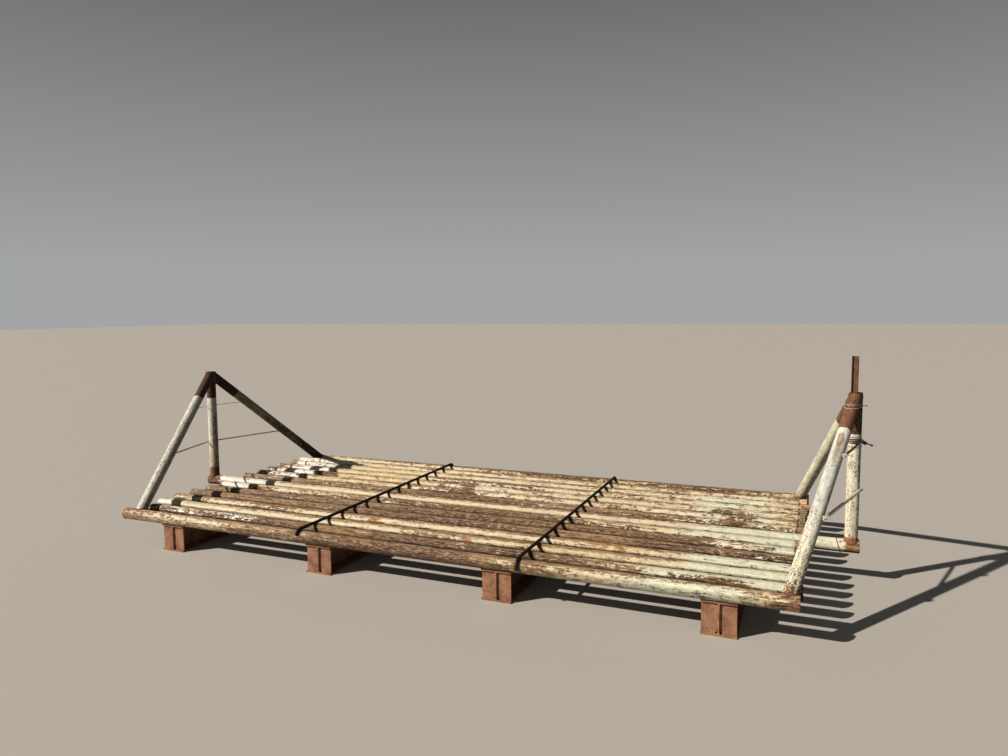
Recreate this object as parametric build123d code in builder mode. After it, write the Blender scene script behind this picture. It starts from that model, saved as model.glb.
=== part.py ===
from build123d import *
import os
from math import atan2, cos, degrees, hypot, sin, sqrt

os.makedirs("parts", exist_ok=True)

# A welded cattle grid: pipes laid across the track on four H-beams, and a three-legged wing at each end.
# Millimetres. X runs along the pipes, Y along the track, Z up. The origin is on the ground at the middle.

# Deck pipes
pipe_count = 15            # odd, so that the middle one can carry both wings
pipe_pitch = 168.0         # centre to centre along the track
pipe_diameter = 88.9
pipe_wall = 5.5
deck_left = 2520.0         # reach of the ordinary pipes to the left of the middle
deck_right = 2475.0
carrier_past_post = 53.0   # the middle pipe runs out on both sides under the posts
uneven_ends = [12, 0, 6, 4, -2, -14, -8, 0, 10, -6, 14, 2, -12, 8, -4]   # how far each pipe is slid left

# Beams under the deck
beam_count = 4
beam_spacing = 1361.0
beam_depth = 203.2
beam_flange_width = 203.2
beam_flange = 11.0
beam_web = 8.0
beam_root_radius = 10.0
beam_overhang = 15.0       # past the centre line of the outermost pipe
stiffener = 10.0
stiffener_inset = 14.0     # from the end of the beam to the face of its stiffener
stiffener_edge = 3.0       # how far the stiffener stops inside the flange edge
stiffener_snipe = 14.0     # corner cut clear of the root fillet

# Round bars over the deck
bar_diameter = 22.0
bar_spacing = 1670.0
bar_tail = 12.0            # straight end after each hook
near_hook_angles = [52.0, 88.0]  # how far each bar wraps over the first pipe, left bar first, in degrees
far_hook_angles = [76.0, 76.0]
seat = 0.15                # stand-off where round pieces only touch at a point

# Wings
wing_diameter = 82.5
wing_wall = 5.5
foot_reach = 2400.0        # where the leg centre lines meet the outermost pipes
post_reach = 2752.0
wing_height = 986.0        # flat top of the post above the top of the deck
joint_drop = 22.0          # from the flat top down to where the leg centre lines meet
cope = 0.3                 # weld gap left by every saddle cut

# Rungs and ties between the legs of the wings
rung_diameter = 21.0
rung_leg_height = 330.0    # heights above the top of the deck
rung_post_height = 346.0
thin_rung_diameter = 14.0
thin_rung_leg_height = 636.0
thin_rung_post_height = 672.0
rung_past_post = 6.0
rung_past_leg = 8.0
tie_diameter = 14.0
tie_height = 322.0
tie_past_leg = 16.0
wire_diameter = 6.0
wire_height = 664.0
wire_past_leg = 12.0

# Angle iron standing in the open top of the right post
angle_long_leg = 40.0
angle_short_leg = 20.0
angle_thickness = 4.0
angle_root_radius = 3.5
angle_turn = 45.0          # the long leg points this far forward of the pipes' direction
angle_above = 238.0
angle_below = 120.0

# Levels and centre lines that follow from the sizes above
pipe_radius = pipe_diameter / 2
wing_radius = wing_diameter / 2
bar_radius = bar_diameter / 2
pipe_level = beam_depth + pipe_radius
deck_top = beam_depth + pipe_diameter
edge_line = pipe_pitch * (pipe_count - 1) / 2
middle = pipe_count // 2
post_top = deck_top + wing_height
joint_level = post_top - joint_drop
leg_rise = joint_level - pipe_level
leg_spread = post_reach - foot_reach
carrier_reach = post_reach + carrier_past_post


def finish(piece, name):
    piece.part.label = name
    export_step(piece.part, f"parts/{name}.step")


# Deck pipes, numbered from the near edge of the grid to the far edge
for row in range(pipe_count):
    if row == middle:
        left_end, right_end = -carrier_reach, carrier_reach
    else:
        left_end, right_end = -deck_left - uneven_ends[row], deck_right - uneven_ends[row]
    pipe_line = row * pipe_pitch - edge_line
    with BuildPart() as pipe:
        with BuildSketch(Plane(origin=(left_end, pipe_line, pipe_level), z_dir=(1, 0, 0))):
            Circle(pipe_radius)
            Circle(pipe_radius - pipe_wall, mode=Mode.SUBTRACT)
        extrude(amount=right_end - left_end)
    finish(pipe, f"pipe_{row + 1:02d}")


# Rolled H-beams with bearing stiffeners at both ends
beam_length = 2 * (edge_line + beam_overhang)
for index in range(beam_count):
    beam_line = (index - (beam_count - 1) / 2) * beam_spacing
    near_end = (beam_line, -beam_length / 2, beam_depth / 2)
    beam_start = Plane(origin=near_end, x_dir=(1, 0, 0), z_dir=(0, -1, 0))
    with BuildPart() as beam:
        with BuildSketch(beam_start) as section:
            Rectangle(beam_web, beam_depth)
            with GridLocations(0, beam_depth - beam_flange, 1, 2):
                Rectangle(beam_flange_width, beam_flange)
            roots = section.vertices().filter_by_position(Axis.X, -beam_web, beam_web)
            fillet(roots, beam_root_radius)
        extrude(amount=-beam_length)
        for along in (stiffener_inset, beam_length - stiffener_inset - stiffener):
            with BuildSketch(beam_start.offset(-along)):
                plate_width = (beam_flange_width - beam_web) / 2 - stiffener_edge
                plate_height = beam_depth - 2 * beam_flange
                for side in (-1, 1):
                    plate_middle = side * (beam_web + plate_width) / 2
                    web_face = side * beam_web / 2
                    with Locations((plate_middle, 0)):
                        Rectangle(plate_width, plate_height)
                    with Locations((web_face, plate_height / 2), (web_face, -plate_height / 2)):
                        Rectangle(2 * stiffener_snipe, 2 * stiffener_snipe, rotation=45, mode=Mode.SUBTRACT)
                Rectangle(beam_web, plate_height)
            extrude(amount=-stiffener)
    finish(beam, f"beam_{index + 1}")


# Round bars across the deck, hooked down over the outermost pipes
hook_radius = pipe_radius + seat + bar_radius
bar_level = deck_top + seat + bar_radius
for side, near_hook, far_hook, name in (
    (-1, near_hook_angles[0], far_hook_angles[0], "spacer_bar_left"),
    (1, near_hook_angles[1], far_hook_angles[1], "spacer_bar_right"),
):
    bar_plane = Plane(origin=(side * bar_spacing / 2, 0, 0), x_dir=(0, 1, 0), z_dir=(1, 0, 0))
    with BuildPart() as bar:
        with BuildLine(bar_plane) as route:
            run = Line((-edge_line, bar_level), (edge_line, bar_level))
            far_bend = JernArc(run @ 1, run % 1, hook_radius, -far_hook)
            Line(far_bend @ 1, far_bend @ 1 + (far_bend % 1) * bar_tail)
            near_bend = JernArc(run @ 0, -(run % 0), hook_radius, near_hook)
            Line(near_bend @ 1, near_bend @ 1 + (near_bend % 1) * bar_tail)
        with BuildSketch(Plane(origin=bar_plane.from_local_coords((0, bar_level, 0)), z_dir=(0, 1, 0))):
            Circle(bar_radius)
        sweep(path=route.wires()[0])
    finish(bar, name)


def wing_leg(side, end):
    """A pipe from the outermost deck pipe up to the post, saddle cut at both ends."""
    foot = Vector(side * foot_reach, end * edge_line, pipe_level)
    crown = Vector(side * post_reach, 0, joint_level)
    with BuildPart() as leg:
        with BuildSketch(Plane(origin=foot, z_dir=crown - foot)):
            Circle(wing_radius)
            Circle(wing_radius - wing_wall, mode=Mode.SUBTRACT)
        extrude(amount=(crown - foot).length)
        with BuildSketch(Plane(origin=foot - (4 * wing_radius, 0, 0), z_dir=(1, 0, 0))):
            Circle(pipe_radius + cope)
        extrude(amount=8 * wing_radius, mode=Mode.SUBTRACT)
        with BuildSketch(Plane(origin=crown - (0, 0, 4 * wing_radius))):
            Circle(wing_radius + cope)
        extrude(amount=8 * wing_radius, mode=Mode.SUBTRACT)
        split(bisect_by=Plane(origin=(0, end * cope / 2, 0), z_dir=(0, end, 0)))
        split(bisect_by=Plane(origin=(0, 0, post_top), z_dir=(0, 0, -1)))
    return leg


def wing_post(side):
    """An upright pipe, saddle cut to stand on the middle deck pipe and cut flat on top."""
    with BuildPart() as post:
        with BuildSketch(Plane(origin=(side * post_reach, 0, pipe_level))):
            Circle(wing_radius)
            Circle(wing_radius - wing_wall, mode=Mode.SUBTRACT)
        extrude(amount=post_top - pipe_level)
        with BuildSketch(Plane(origin=(side * post_reach - 4 * wing_radius, 0, pipe_level), z_dir=(1, 0, 0))):
            Circle(pipe_radius + cope)
        extrude(amount=8 * wing_radius, mode=Mode.SUBTRACT)
    return post


for side, name in ((-1, "left"), (1, "right")):
    finish(wing_leg(side, -1), f"{name}_front_leg")
    finish(wing_post(side), f"{name}_post")
    finish(wing_leg(side, 1), f"{name}_back_leg")


# Seen from above, a leg runs from the post at this slant, and everything below keeps to the outer side of it
leg_plan = hypot(leg_spread, edge_line)
slant = atan2(leg_spread, edge_line)
outward = Vector(cos(slant), -sin(slant), 0)
along = Vector(sin(slant), cos(slant), 0)


def leg_distance(height):
    """Distance in plan from the post back to the centre line of a leg, at a height above the deck."""
    return leg_plan * (joint_level - deck_top - height) / leg_rise


def front_rung(diameter, leg_height, post_height):
    """A straight bar welded across the outer sides of the right front leg and the right post."""
    stand_off = outward * (wing_radius + seat + diameter / 2)
    centre = Vector(post_reach, 0, deck_top) + stand_off
    span = leg_distance(leg_height)
    leg_end = centre - along * span + Vector(0, 0, leg_height)
    post_end = centre + Vector(0, 0, post_height)
    direction = (post_end - leg_end).normalized()
    start = leg_end - direction * rung_past_leg
    with BuildPart() as rung:
        with BuildSketch(Plane(origin=start, z_dir=direction)):
            Circle(diameter / 2)
        extrude(amount=(post_end - leg_end).length + rung_past_leg + rung_past_post)
    return rung


finish(front_rung(rung_diameter, rung_leg_height, rung_post_height), "right_lower_rung")
finish(front_rung(thin_rung_diameter, thin_rung_leg_height, thin_rung_post_height), "right_upper_rung")


def bent_tie(diameter, height, past_leg):
    """A bar from the front leg to the back leg of the left wing, bent round the outer side of the post."""
    bend_radius = wing_radius + seat + diameter / 2
    reach = leg_distance(height) + past_leg
    turn = degrees(slant)
    level = Plane(origin=(-post_reach, 0, deck_top + height))
    with BuildPart() as tie:
        with BuildLine(level) as route:
            bend = CenterArc((0, 0), bend_radius, 180 - turn, 2 * turn)
            Line(bend @ 0, bend @ 0 - (bend % 0) * reach)
            Line(bend @ 1, bend @ 1 + (bend % 1) * reach)
        with BuildSketch(Plane(origin=level.from_local_coords((-bend_radius, 0, 0)), z_dir=(0, 1, 0))):
            Circle(diameter / 2)
        sweep(path=route.wires()[0])
    return tie


finish(bent_tie(tie_diameter, tie_height, tie_past_leg), "left_lower_tie")
finish(bent_tie(wire_diameter, wire_height, wire_past_leg), "left_upper_tie")


# Angle iron dropped into the right post, the back of its short leg lying as a chord across the bore
bore_radius = wing_radius - wing_wall - seat
chord = sqrt(bore_radius**2 - (angle_short_leg / 2) ** 2)
bore_centre = Plane(origin=(post_reach, 0, post_top - angle_below)).rotated((0, 0, -angle_turn))
with BuildPart() as angle_iron:
    with BuildSketch(bore_centre) as section:
        with Locations((-chord, angle_short_leg / 2)):
            Rectangle(angle_long_leg, angle_thickness, align=(Align.MIN, Align.MAX))
            Rectangle(angle_thickness, angle_short_leg, align=(Align.MIN, Align.MAX))
        inner_corner = (-chord + angle_thickness, angle_short_leg / 2 - angle_thickness)
        root = section.vertices().sort_by_distance(inner_corner)[0]
        fillet(root, angle_root_radius)
    extrude(amount=angle_below + angle_above)
finish(angle_iron, "right_angle_iron")
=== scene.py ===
import math

import bmesh
import bpy
from mathutils import Matrix, Vector
from mathutils.geometry import convex_hull_2d


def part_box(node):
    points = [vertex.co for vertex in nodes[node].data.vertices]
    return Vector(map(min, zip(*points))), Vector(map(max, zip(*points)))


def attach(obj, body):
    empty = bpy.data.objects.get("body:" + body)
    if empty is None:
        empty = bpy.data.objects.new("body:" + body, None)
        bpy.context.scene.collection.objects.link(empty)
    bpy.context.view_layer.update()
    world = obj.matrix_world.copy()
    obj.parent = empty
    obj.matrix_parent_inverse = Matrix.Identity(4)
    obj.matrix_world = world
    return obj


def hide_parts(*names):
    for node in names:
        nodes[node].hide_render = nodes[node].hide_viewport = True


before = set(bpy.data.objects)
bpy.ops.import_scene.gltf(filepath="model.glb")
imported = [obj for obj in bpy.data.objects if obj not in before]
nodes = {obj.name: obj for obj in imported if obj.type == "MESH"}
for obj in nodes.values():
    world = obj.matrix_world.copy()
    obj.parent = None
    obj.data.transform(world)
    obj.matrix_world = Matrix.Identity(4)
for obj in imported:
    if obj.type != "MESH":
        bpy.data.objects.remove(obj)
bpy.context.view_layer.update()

# A welded steel cattle grid: worn paint over rust on the pipes, dark bars over them, and a wing at each end
view = bpy.context.scene
pipeNames = sorted(name for name in nodes if name.startswith("pipe_"))
beamNames = sorted(name for name in nodes if name.startswith("beam_"))
barNames = sorted(name for name in nodes if name.startswith("spacer_bar_"))
print("frame:", len(nodes), "nodes")


def linearColour(code):   # an sRGB hex value in the linear numbers that a shader wants
    parts = [int(code[i:i + 2], 16) / 255 for i in (1, 3, 5)]
    return [p / 12.92 if p <= 0.04045 else ((p + 0.055) / 1.055) ** 2.4 for p in parts] + [1.0]


def feed(tree, node, inputs):   # plain values and links; a node given as a value lends its first live output
    for key, value in inputs.items():
        if isinstance(value, bpy.types.Node):
            value = next(output for output in value.outputs if output.enabled)
        if isinstance(value, bpy.types.NodeSocket):
            tree.links.new(value, node.inputs[key])
        else:
            node.inputs[key].default_value = value


def addNode(tree, kind, inputs=None, stops=(), **settings):   # one node, with its inputs and any ramp's stops
    node = tree.nodes.new(kind)
    for key, value in settings.items():
        setattr(node, key, value)
    feed(tree, node, inputs or {})
    for index, (place, colour) in enumerate(stops):
        marks = node.color_ramp.elements
        mark = marks[index] if index < 2 else marks.new(place)
        mark.position, mark.color = place, colour
    return node


def newMaterial(name):
    material = bpy.data.materials.new(name)
    material.use_nodes = True
    return material, material.node_tree, material.node_tree.nodes["Principled BSDF"]


def middleOf(name):   # centre of a node's box, and half its height
    low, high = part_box(name)
    return (low + high) / 2, (high.z - low.z) / 2


def dress(name, material):   # a CAD node keeps its mesh and takes a finish
    nodes[name].data.materials.clear()
    nodes[name].data.materials.append(material)


# Stage: a pale matt floor, pale walls under a dimmer ceiling, and a key light from the left
stageLook = {"floor": "#b4b1ab", "floorSize": 160.0, "floorRoughness": 0.9, "wall": "#eceef0",
             "wallStrength": 0.40, "ceilingStrength": 0.10, "wallTop": 0.05, "ceilingFrom": 0.50,
             "sun": "#fff5ea", "sunStrength": 4.15, "sunSoftness": 1.0, "sunFrom": (-0.588, -0.552, 0.591)}


def buildStage():
    low, high = -stageLook["floorSize"] / 2, stageLook["floorSize"] / 2
    mesh = bpy.data.meshes.new("studio_floor")
    mesh.from_pydata([(low, low, 0), (high, low, 0), (high, high, 0), (low, high, 0)], [], [(0, 1, 2, 3)])
    floor = bpy.data.objects.new("studio_floor", mesh)
    view.collection.objects.link(floor)
    paint, tree, shader = newMaterial("mattFloorPaint")   # pale and matt: it shows shadows and no gloss
    feed(tree, shader, {"Base Color": linearColour(stageLook["floor"]),
                        "Roughness": stageLook["floorRoughness"]})
    mesh.materials.append(paint)

    world = bpy.data.worlds.new("studio")
    world.use_nodes = True
    tree = world.node_tree
    where = addNode(tree, "ShaderNodeTexCoord").outputs["Generated"]
    height = addNode(tree, "ShaderNodeSeparateXYZ", {0: where}).outputs["Z"]
    glow = addNode(tree, "ShaderNodeMapRange",
                   {"Value": height, "From Min": stageLook["wallTop"], "From Max": stageLook["ceilingFrom"],
                    "To Min": stageLook["wallStrength"], "To Max": stageLook["ceilingStrength"]})
    feed(tree, tree.nodes["Background"], {"Color": linearColour(stageLook["wall"]), "Strength": glow})
    view.world = world

    lamp = bpy.data.lights.new("key", "SUN")
    lamp.energy = stageLook["sunStrength"]
    lamp.color = linearColour(stageLook["sun"])[:3]
    lamp.angle = math.radians(stageLook["sunSoftness"])
    key = bpy.data.objects.new("key", lamp)
    key.rotation_euler = Vector(stageLook["sunFrom"]).to_track_quat("Z", "Y").to_euler()
    view.collection.objects.link(key)
    view.view_settings.view_transform = "Standard"
    view.view_settings.look = "Medium High Contrast"


# Camera: held at eye height in front of the right wing, turned a little to the left
cameraPose = {"place": (2.5089, -5.3611, 1.8425), "pan": 0.3992, "tilt": -0.0924, "roll": 0.0084,
              "lens": 26.57, "sensor": 36.0}


def buildCamera():
    lens = bpy.data.cameras.new("camera")
    lens.lens = cameraPose["lens"]
    lens.sensor_width = cameraPose["sensor"]
    camera = bpy.data.objects.new("camera", lens)
    turn = Matrix.Rotation(cameraPose["pan"], 4, "Z") @ Matrix.Rotation(cameraPose["tilt"], 4, "X")
    turn = turn @ Matrix.Rotation(cameraPose["roll"], 4, "Y") @ Matrix.Rotation(math.radians(90), 4, "X")
    camera.matrix_world = Matrix.Translation(cameraPose["place"]) @ turn
    view.collection.objects.link(camera)
    view.camera = camera


buildStage()
buildCamera()
print("stage: floor, sky, key light and camera")

# Paint left on the pipes, what shows where it is gone, and the dirt and painted shade on both
paintColours = {"cream": "#d8caa9", "butter": "#d3c096", "mint": "#d8dac2", "white": "#ebe8dc",
                "pink": "#c9ab93", "chalk": "#d6d8cd", "putty": "#d0c7a5", "ivory": "#e2d8c0",
                "bone": "#e8e5cc"}
# maroon: the head's rust made darker and redder, as painted shade for heads that lie in shade
steelColours = {"tan": "#98795a", "grey": "#88735f", "umber": "#6a4e3b", "purple": "#644a41",
                "dark": "#38271f", "orange": "#ab7b48", "rust": "#7c4f39", "clay": "#a1785c",
                "head": "#744d37", "slate": "#968b78", "maroon": "#45261f", "soot": "#0e0806"}
dirtColours = {"dust": "#bfa581", "stain": "#7b6144", "shade": "#2c1b10", "pale": "#d3bf9f"}
# Clouds that the wear follows, and the detail and distortion of each
cloudKinds = {"streaks": (3.0, 0.0), "chips": (3.0, 0.8), "flecks": (2.0, 0.0), "broad": (1.0, 0.0),
              "dots": (1.0, 0.0), "grit": (2.0, 0.0)}
# Effects on paint and rust: the cloud that each follows, where in its values it starts and ends, and its
# strength there, which a piece can change
effects = {"dirt": ("dots", 0.54, 0.72, 0.0, 0.60), "runs": ("streaks", 0.34, 0.60, 0.80, 1.03),
           "patches": ("chips", 0.34, 0.60, 0.80, 1.03), "pits": ("streaks", 0.40, 0.58, 0.74, 0.0),
           "dust": ("grit", 0.46, 0.68, 0.0, 0.66), "specks": ("dots", 0.40, 0.28, 0.0, 0.40),
           "blotches": ("chips", 0.3, 0.7, 0.72, 1.22), "film": ("streaks", 0.35, 0.65, 0.0, 0.3)}
# spread: how much the paint given along a pipe moves the edge of the paint; edge, soundEdge: how far to
# each side of it the paint sets in and is stained; crest: heights in radii between which wheels wear it;
# openDrop: how many radii lower the dirt and painted shade start past the sheltered length, which is
# measured both ways from the middle
wornLook = {"spread": 0.36, "edge": (0.010, 0.010), "soundEdge": (0.01, 0.08), "stained": 0.6, "fray": 0.8,
            "crest": (0.74, 0.94), "openDrop": 0.75, "sheltered": 2.53, "rustRoughness": 0.9,
            "paintRoughness": 0.55, "relief": 0.5, "bump": 0.6, "paintThickness": 0.0007, "refraction": 1.5}
# sizes: one cloud along and across the pipe in mm; mix: how much each shapes the edge of the paint; low,
# lowLoss, lowShade: heights in radii where dirt and painted shade start and are full, how much paint is
# lost there, how dark dirt and painted shade leave the rest; the low side is the underside between deck
# pipes, and on the wings the side away from the key light
deckWear = {"sizes": {"streaks": (150, 9), "chips": (48, 22), "flecks": (11, 7), "broad": (420, 90),
                      "dots": (7, 5), "grit": (34, 6)},
            "mix": {"streaks": 0.24, "chips": 0.46, "flecks": 0.30, "broad": 0.22}, "strengths": {},
            "low": (0.50, 0.04), "lowLoss": 0.3, "lowShade": 0.20}
wingWear = {"sizes": {"streaks": (220, 12), "chips": (45, 24), "flecks": (9, 7), "broad": (420, 90),
                      "dots": (5, 4), "grit": (9, 7)},
            "mix": {"streaks": 0.06, "chips": 0.22, "flecks": 0.72, "broad": 0.22},
            "strengths": {"runs": (0.78, 1.03), "patches": (0.78, 1.03), "pits": (0.34, 0.0),
                          "dust": (0.0, 0.32), "specks": (0.0, 0.0), "film": (0.0, 0.0)},
            "low": (0.25, -0.45), "lowLoss": 0.12, "lowShade": 0.45}


def patternFrame(start, direction, up=(0, 0, 1)):   # place and turn that put a pattern's X along a piece
    ahead = Vector(direction).normalized()
    side = Vector(up).cross(ahead).normalized()
    return tuple(start), tuple(Matrix((ahead, side, ahead.cross(side))).transposed().to_euler("XYZ"))


seedShift = (3.71, 1.93, 2.37)   # how far a cloud moves from one seed to the next


def patternAlong(tree, local, alongMm, acrossMm, seed, detail, distortion):
    # cloudy grain, drawn out along the piece; the sizes are those of one cloud
    size = (1000 / alongMm, 1000 / acrossMm, 1000 / acrossMm)
    place = addNode(tree, "ShaderNodeMapping",
                    {"Vector": local, "Location": [seed * shift for shift in seedShift], "Scale": size})
    cloud = addNode(tree, "ShaderNodeTexNoise",
                    {"Vector": place, "Scale": 1.0, "Detail": detail, "Distortion": distortion})
    return cloud.outputs["Fac"]


def wornEnamel(name, axis, reach, radius, stops, seed, wear, rubbed=()):
    # brushed farm enamel on hot-rolled pipe: dull paint, worn off in streaks and chips over brown dusty rust
    material, tree, shader = newMaterial(name)
    spot = addNode(tree, "ShaderNodeTexCoord").outputs["Object"]
    local = addNode(tree, "ShaderNodeMapping", {"Vector": spot, "Location": axis[0], "Rotation": axis[1]},
                    vector_type="TEXTURE")   # the pipe's own frame, with X along it
    split = addNode(tree, "ShaderNodeSeparateXYZ", {0: local}).outputs
    along = addNode(tree, "ShaderNodeMapRange",
                    {"Value": split["X"], "From Min": reach[0], "From Max": reach[1]})
    places = [(stop[0] - reach[0]) / (reach[1] - reach[0]) for stop in stops]
    shares = [(stop[1], stop[2], float(abs(stop[0]) < wornLook["sheltered"]), 1) for stop in stops]
    tones = [linearColour(paintColours[stop[3]]) for stop in stops]
    bares = [linearColour(steelColours[stop[4]]) for stop in stops]
    share, tone, rust = [addNode(tree, "ShaderNodeValToRGB", {"Fac": along}, list(zip(places, colours)))
                         for colours in (shares, tones, bares)]
    share = addNode(tree, "ShaderNodeSeparateColor", {"Color": share}).outputs

    # wheels wear the crest; dirt and painted shade darken the low side, and start lower where the pipe stands
    # out alone
    drop = wornLook["openDrop"]
    start, full = wear["low"]
    height = addNode(tree, "ShaderNodeMath", {0: share["Blue"], 1: -drop * radius, 2: split["Z"]},
                     operation="MULTIPLY_ADD")
    crest, dirtAndShade = [addNode(tree, "ShaderNodeMapRange",
                            {"Value": value, "From Min": low * radius, "From Max": high * radius},
                            interpolation_type="SMOOTHSTEP")
                    for value, (low, high) in ((split["Z"], wornLook["crest"]),
                                               (height, (start - drop, full - drop)))]
    kept = addNode(tree, "ShaderNodeMix", {0: crest, 2: share["Red"], 3: share["Green"]})
    kept = addNode(tree, "ShaderNodeMath", {0: dirtAndShade, 1: -wear["lowLoss"], 2: kept}, operation="MULTIPLY_ADD")

    clouds = {cloud: patternAlong(tree, local, *wear["sizes"][cloud], seed + k, *grain)
              for k, (cloud, grain) in enumerate(cloudKinds.items())}
    parts = [(clouds[cloud], part) for cloud, part in wear["mix"].items()] + [(kept, wornLook["spread"])]
    level = 0.0
    for cloud, part in parts:
        level = addNode(tree, "ShaderNodeMath", {0: cloud, 1: part, 2: level}, operation="MULTIPLY_ADD")
    rim = sum(part for cloud, part in parts) / 2   # the level where half of the paint is left
    painted, sound = [addNode(tree, "ShaderNodeMapRange",
                              {"Value": level, "From Min": rim - before, "From Max": rim + after},
                              interpolation_type="SMOOTHSTEP")
                      for before, after in (wornLook["edge"], wornLook["soundEdge"])]
    effect = {}
    for key, (cloud, low, high, *usual) in effects.items():
        first, last = wear["strengths"].get(key, usual)
        effect[key] = addNode(tree, "ShaderNodeMapRange", {
            "Value": clouds[cloud], "From Min": low, "From Max": high, "To Min": first, "To Max": last})
    dirt = {key: linearColour(code) for key, code in dirtColours.items()}

    # paint: stained next to bare spots, dotted with dirt, and dulled in soft clouds and runs
    coat = addNode(tree, "ShaderNodeMix", {0: sound, 6: dirt["stain"], 7: tone}, data_type="RGBA")
    coat = addNode(tree, "ShaderNodeMix", {0: wornLook["stained"], 6: tone, 7: coat}, data_type="RGBA")
    coat = addNode(tree, "ShaderNodeMix", {0: effect["dirt"], 6: coat, 7: dirt["stain"]}, data_type="RGBA")
    for key in ("runs", "patches"):
        coat = addNode(tree, "ShaderNodeVectorMath", {0: coat, "Scale": effect[key]}, operation="SCALE")
    for centre, halfSizes, colour, strength, inner, outer in rubbed:
        apart = addNode(tree, "ShaderNodeVectorMath", {0: local, 1: centre}, operation="SUBTRACT")
        apart = addNode(tree, "ShaderNodeVectorMath", {0: apart, 1: [1 / size for size in halfSizes]},
                        operation="MULTIPLY")
        apart = addNode(tree, "ShaderNodeVectorMath", {0: apart}, operation="LENGTH")
        apart = addNode(tree, "ShaderNodeMath", {0: clouds["flecks"], 1: wornLook["fray"], 2: apart},
                        operation="MULTIPLY_ADD")
        fade = addNode(tree, "ShaderNodeMapRange", {
            "Value": apart, "From Min": inner, "From Max": outer, "To Min": strength, "To Max": 0.0})
        coat = addNode(tree, "ShaderNodeMix", {0: fade, 6: coat, 7: linearColour(colour)}, data_type="RGBA")

    # rust: dark streaks and pits, dusty between them
    for key, colour in (("pits", "shade"), ("dust", "dust"), ("specks", "pale")):
        rust = addNode(tree, "ShaderNodeMix", {0: effect[key], 6: rust, 7: dirt[colour]}, data_type="RGBA")
    rust = addNode(tree, "ShaderNodeVectorMath", {0: rust, "Scale": effect["blotches"]}, operation="SCALE")

    surface = addNode(tree, "ShaderNodeMix", {0: painted, 6: rust, 7: coat}, data_type="RGBA")
    film = addNode(tree, "ShaderNodeMath", {0: effect["film"], 1: crest}, operation="MULTIPLY")
    surface = addNode(tree, "ShaderNodeMix", {0: film, 6: surface, 7: dirt["dust"]}, data_type="RGBA")
    # painted shade as well as dirt: the low side (under and between the deck pipes, on the wings the side
    # away from the key light) is darkened to lowShade
    soilAndShade = addNode(tree, "ShaderNodeMapRange", {"Value": dirtAndShade, "To Min": 1.0, "To Max": wear["lowShade"]})
    surface = addNode(tree, "ShaderNodeVectorMath", {0: surface, "Scale": soilAndShade}, operation="SCALE")
    gloss = addNode(tree, "ShaderNodeMapRange", {
        "Value": painted, "To Min": wornLook["rustRoughness"], "To Max": wornLook["paintRoughness"]})
    relief = addNode(tree, "ShaderNodeMath", {0: clouds["flecks"], 1: wornLook["relief"], 2: painted},
                     operation="MULTIPLY_ADD")
    bump = addNode(tree, "ShaderNodeBump", {
        "Height": relief, "Strength": wornLook["bump"], "Distance": wornLook["paintThickness"]})
    feed(tree, shader, {"Base Color": surface, "Roughness": gloss, "Normal": bump,
                        "IOR": wornLook["refraction"]})
    return material


# Pits, dust and gloss: the values of their cloud where each starts and ends, and its strength there, which
# for gloss is added to the roughness of the steel; clouds, grain: the detail and distortion of each
oxideLook = {"pits": (0.38, 0.60, 0.8, 0.0), "dust": (0.50, 0.72, 0.0, 0.65),
             "gloss": (0.3, 0.7, -0.08, 0.08), "clouds": (4.0, 0.4), "grain": (3.0, 0.0), "bump": 0.7,
             "refraction": 1.5}


def rustedSteel(name, base, dark, dust, cloudMm, gritMm, roughness, bumpMm, seed):
    # bare mild steel left outdoors: dull brown oxide in clouds, with dark pits and pale dust in its grain
    material, tree, shader = newMaterial(name)
    spot = addNode(tree, "ShaderNodeTexCoord").outputs["Object"]
    clouds = patternAlong(tree, spot, cloudMm, cloudMm, seed, *oxideLook["clouds"])
    grain = patternAlong(tree, spot, gritMm, gritMm, seed + 1, *oxideLook["grain"])
    effect = {}
    for key, value, level in (("pits", clouds, 0.0), ("dust", grain, 0.0), ("gloss", grain, roughness)):
        low, high, first, last = oxideLook[key]
        effect[key] = addNode(tree, "ShaderNodeMapRange", {
            "Value": value, "From Min": low, "From Max": high,
            "To Min": level + first, "To Max": level + last})
    colour = linearColour(base)
    for key, over in (("pits", dark), ("dust", dust)):
        colour = addNode(tree, "ShaderNodeMix", {0: effect[key], 6: colour, 7: linearColour(over)},
                         data_type="RGBA")
    bump = addNode(tree, "ShaderNodeBump", {
        "Height": grain, "Strength": oxideLook["bump"], "Distance": bumpMm / 1000})
    feed(tree, shader, {"Base Color": colour, "Roughness": effect["gloss"], "Normal": bump,
                        "IOR": oxideLook["refraction"]})
    return material


# Geometry Nodes: every tree has named inputs and ends in Realize Instances and Set Material
def openTree(name, sockets):   # sockets are {type: labels}
    tree = bpy.data.node_groups.new(name, "GeometryNodeTree")
    tree.interface.new_socket("Path", in_out="INPUT", socket_type="NodeSocketGeometry")
    for kind, labels in sockets.items():
        for label in labels:
            tree.interface.new_socket(label, in_out="INPUT", socket_type="NodeSocket" + kind)
    tree.interface.new_socket("Piece", in_out="OUTPUT", socket_type="NodeSocketGeometry")
    return tree, addNode(tree, "NodeGroupInput").outputs


def closeTree(tree, shape, material):
    real = addNode(tree, "GeometryNodeRealizeInstances", {0: shape})
    finished = addNode(tree, "GeometryNodeSetMaterial", {0: real, "Material": material})
    addNode(tree, "NodeGroupOutput", {0: finished})
    return tree


meshWork = {"mergeWithin": 1e-5, "sharpAbove": 50}   # metres, degrees


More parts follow.
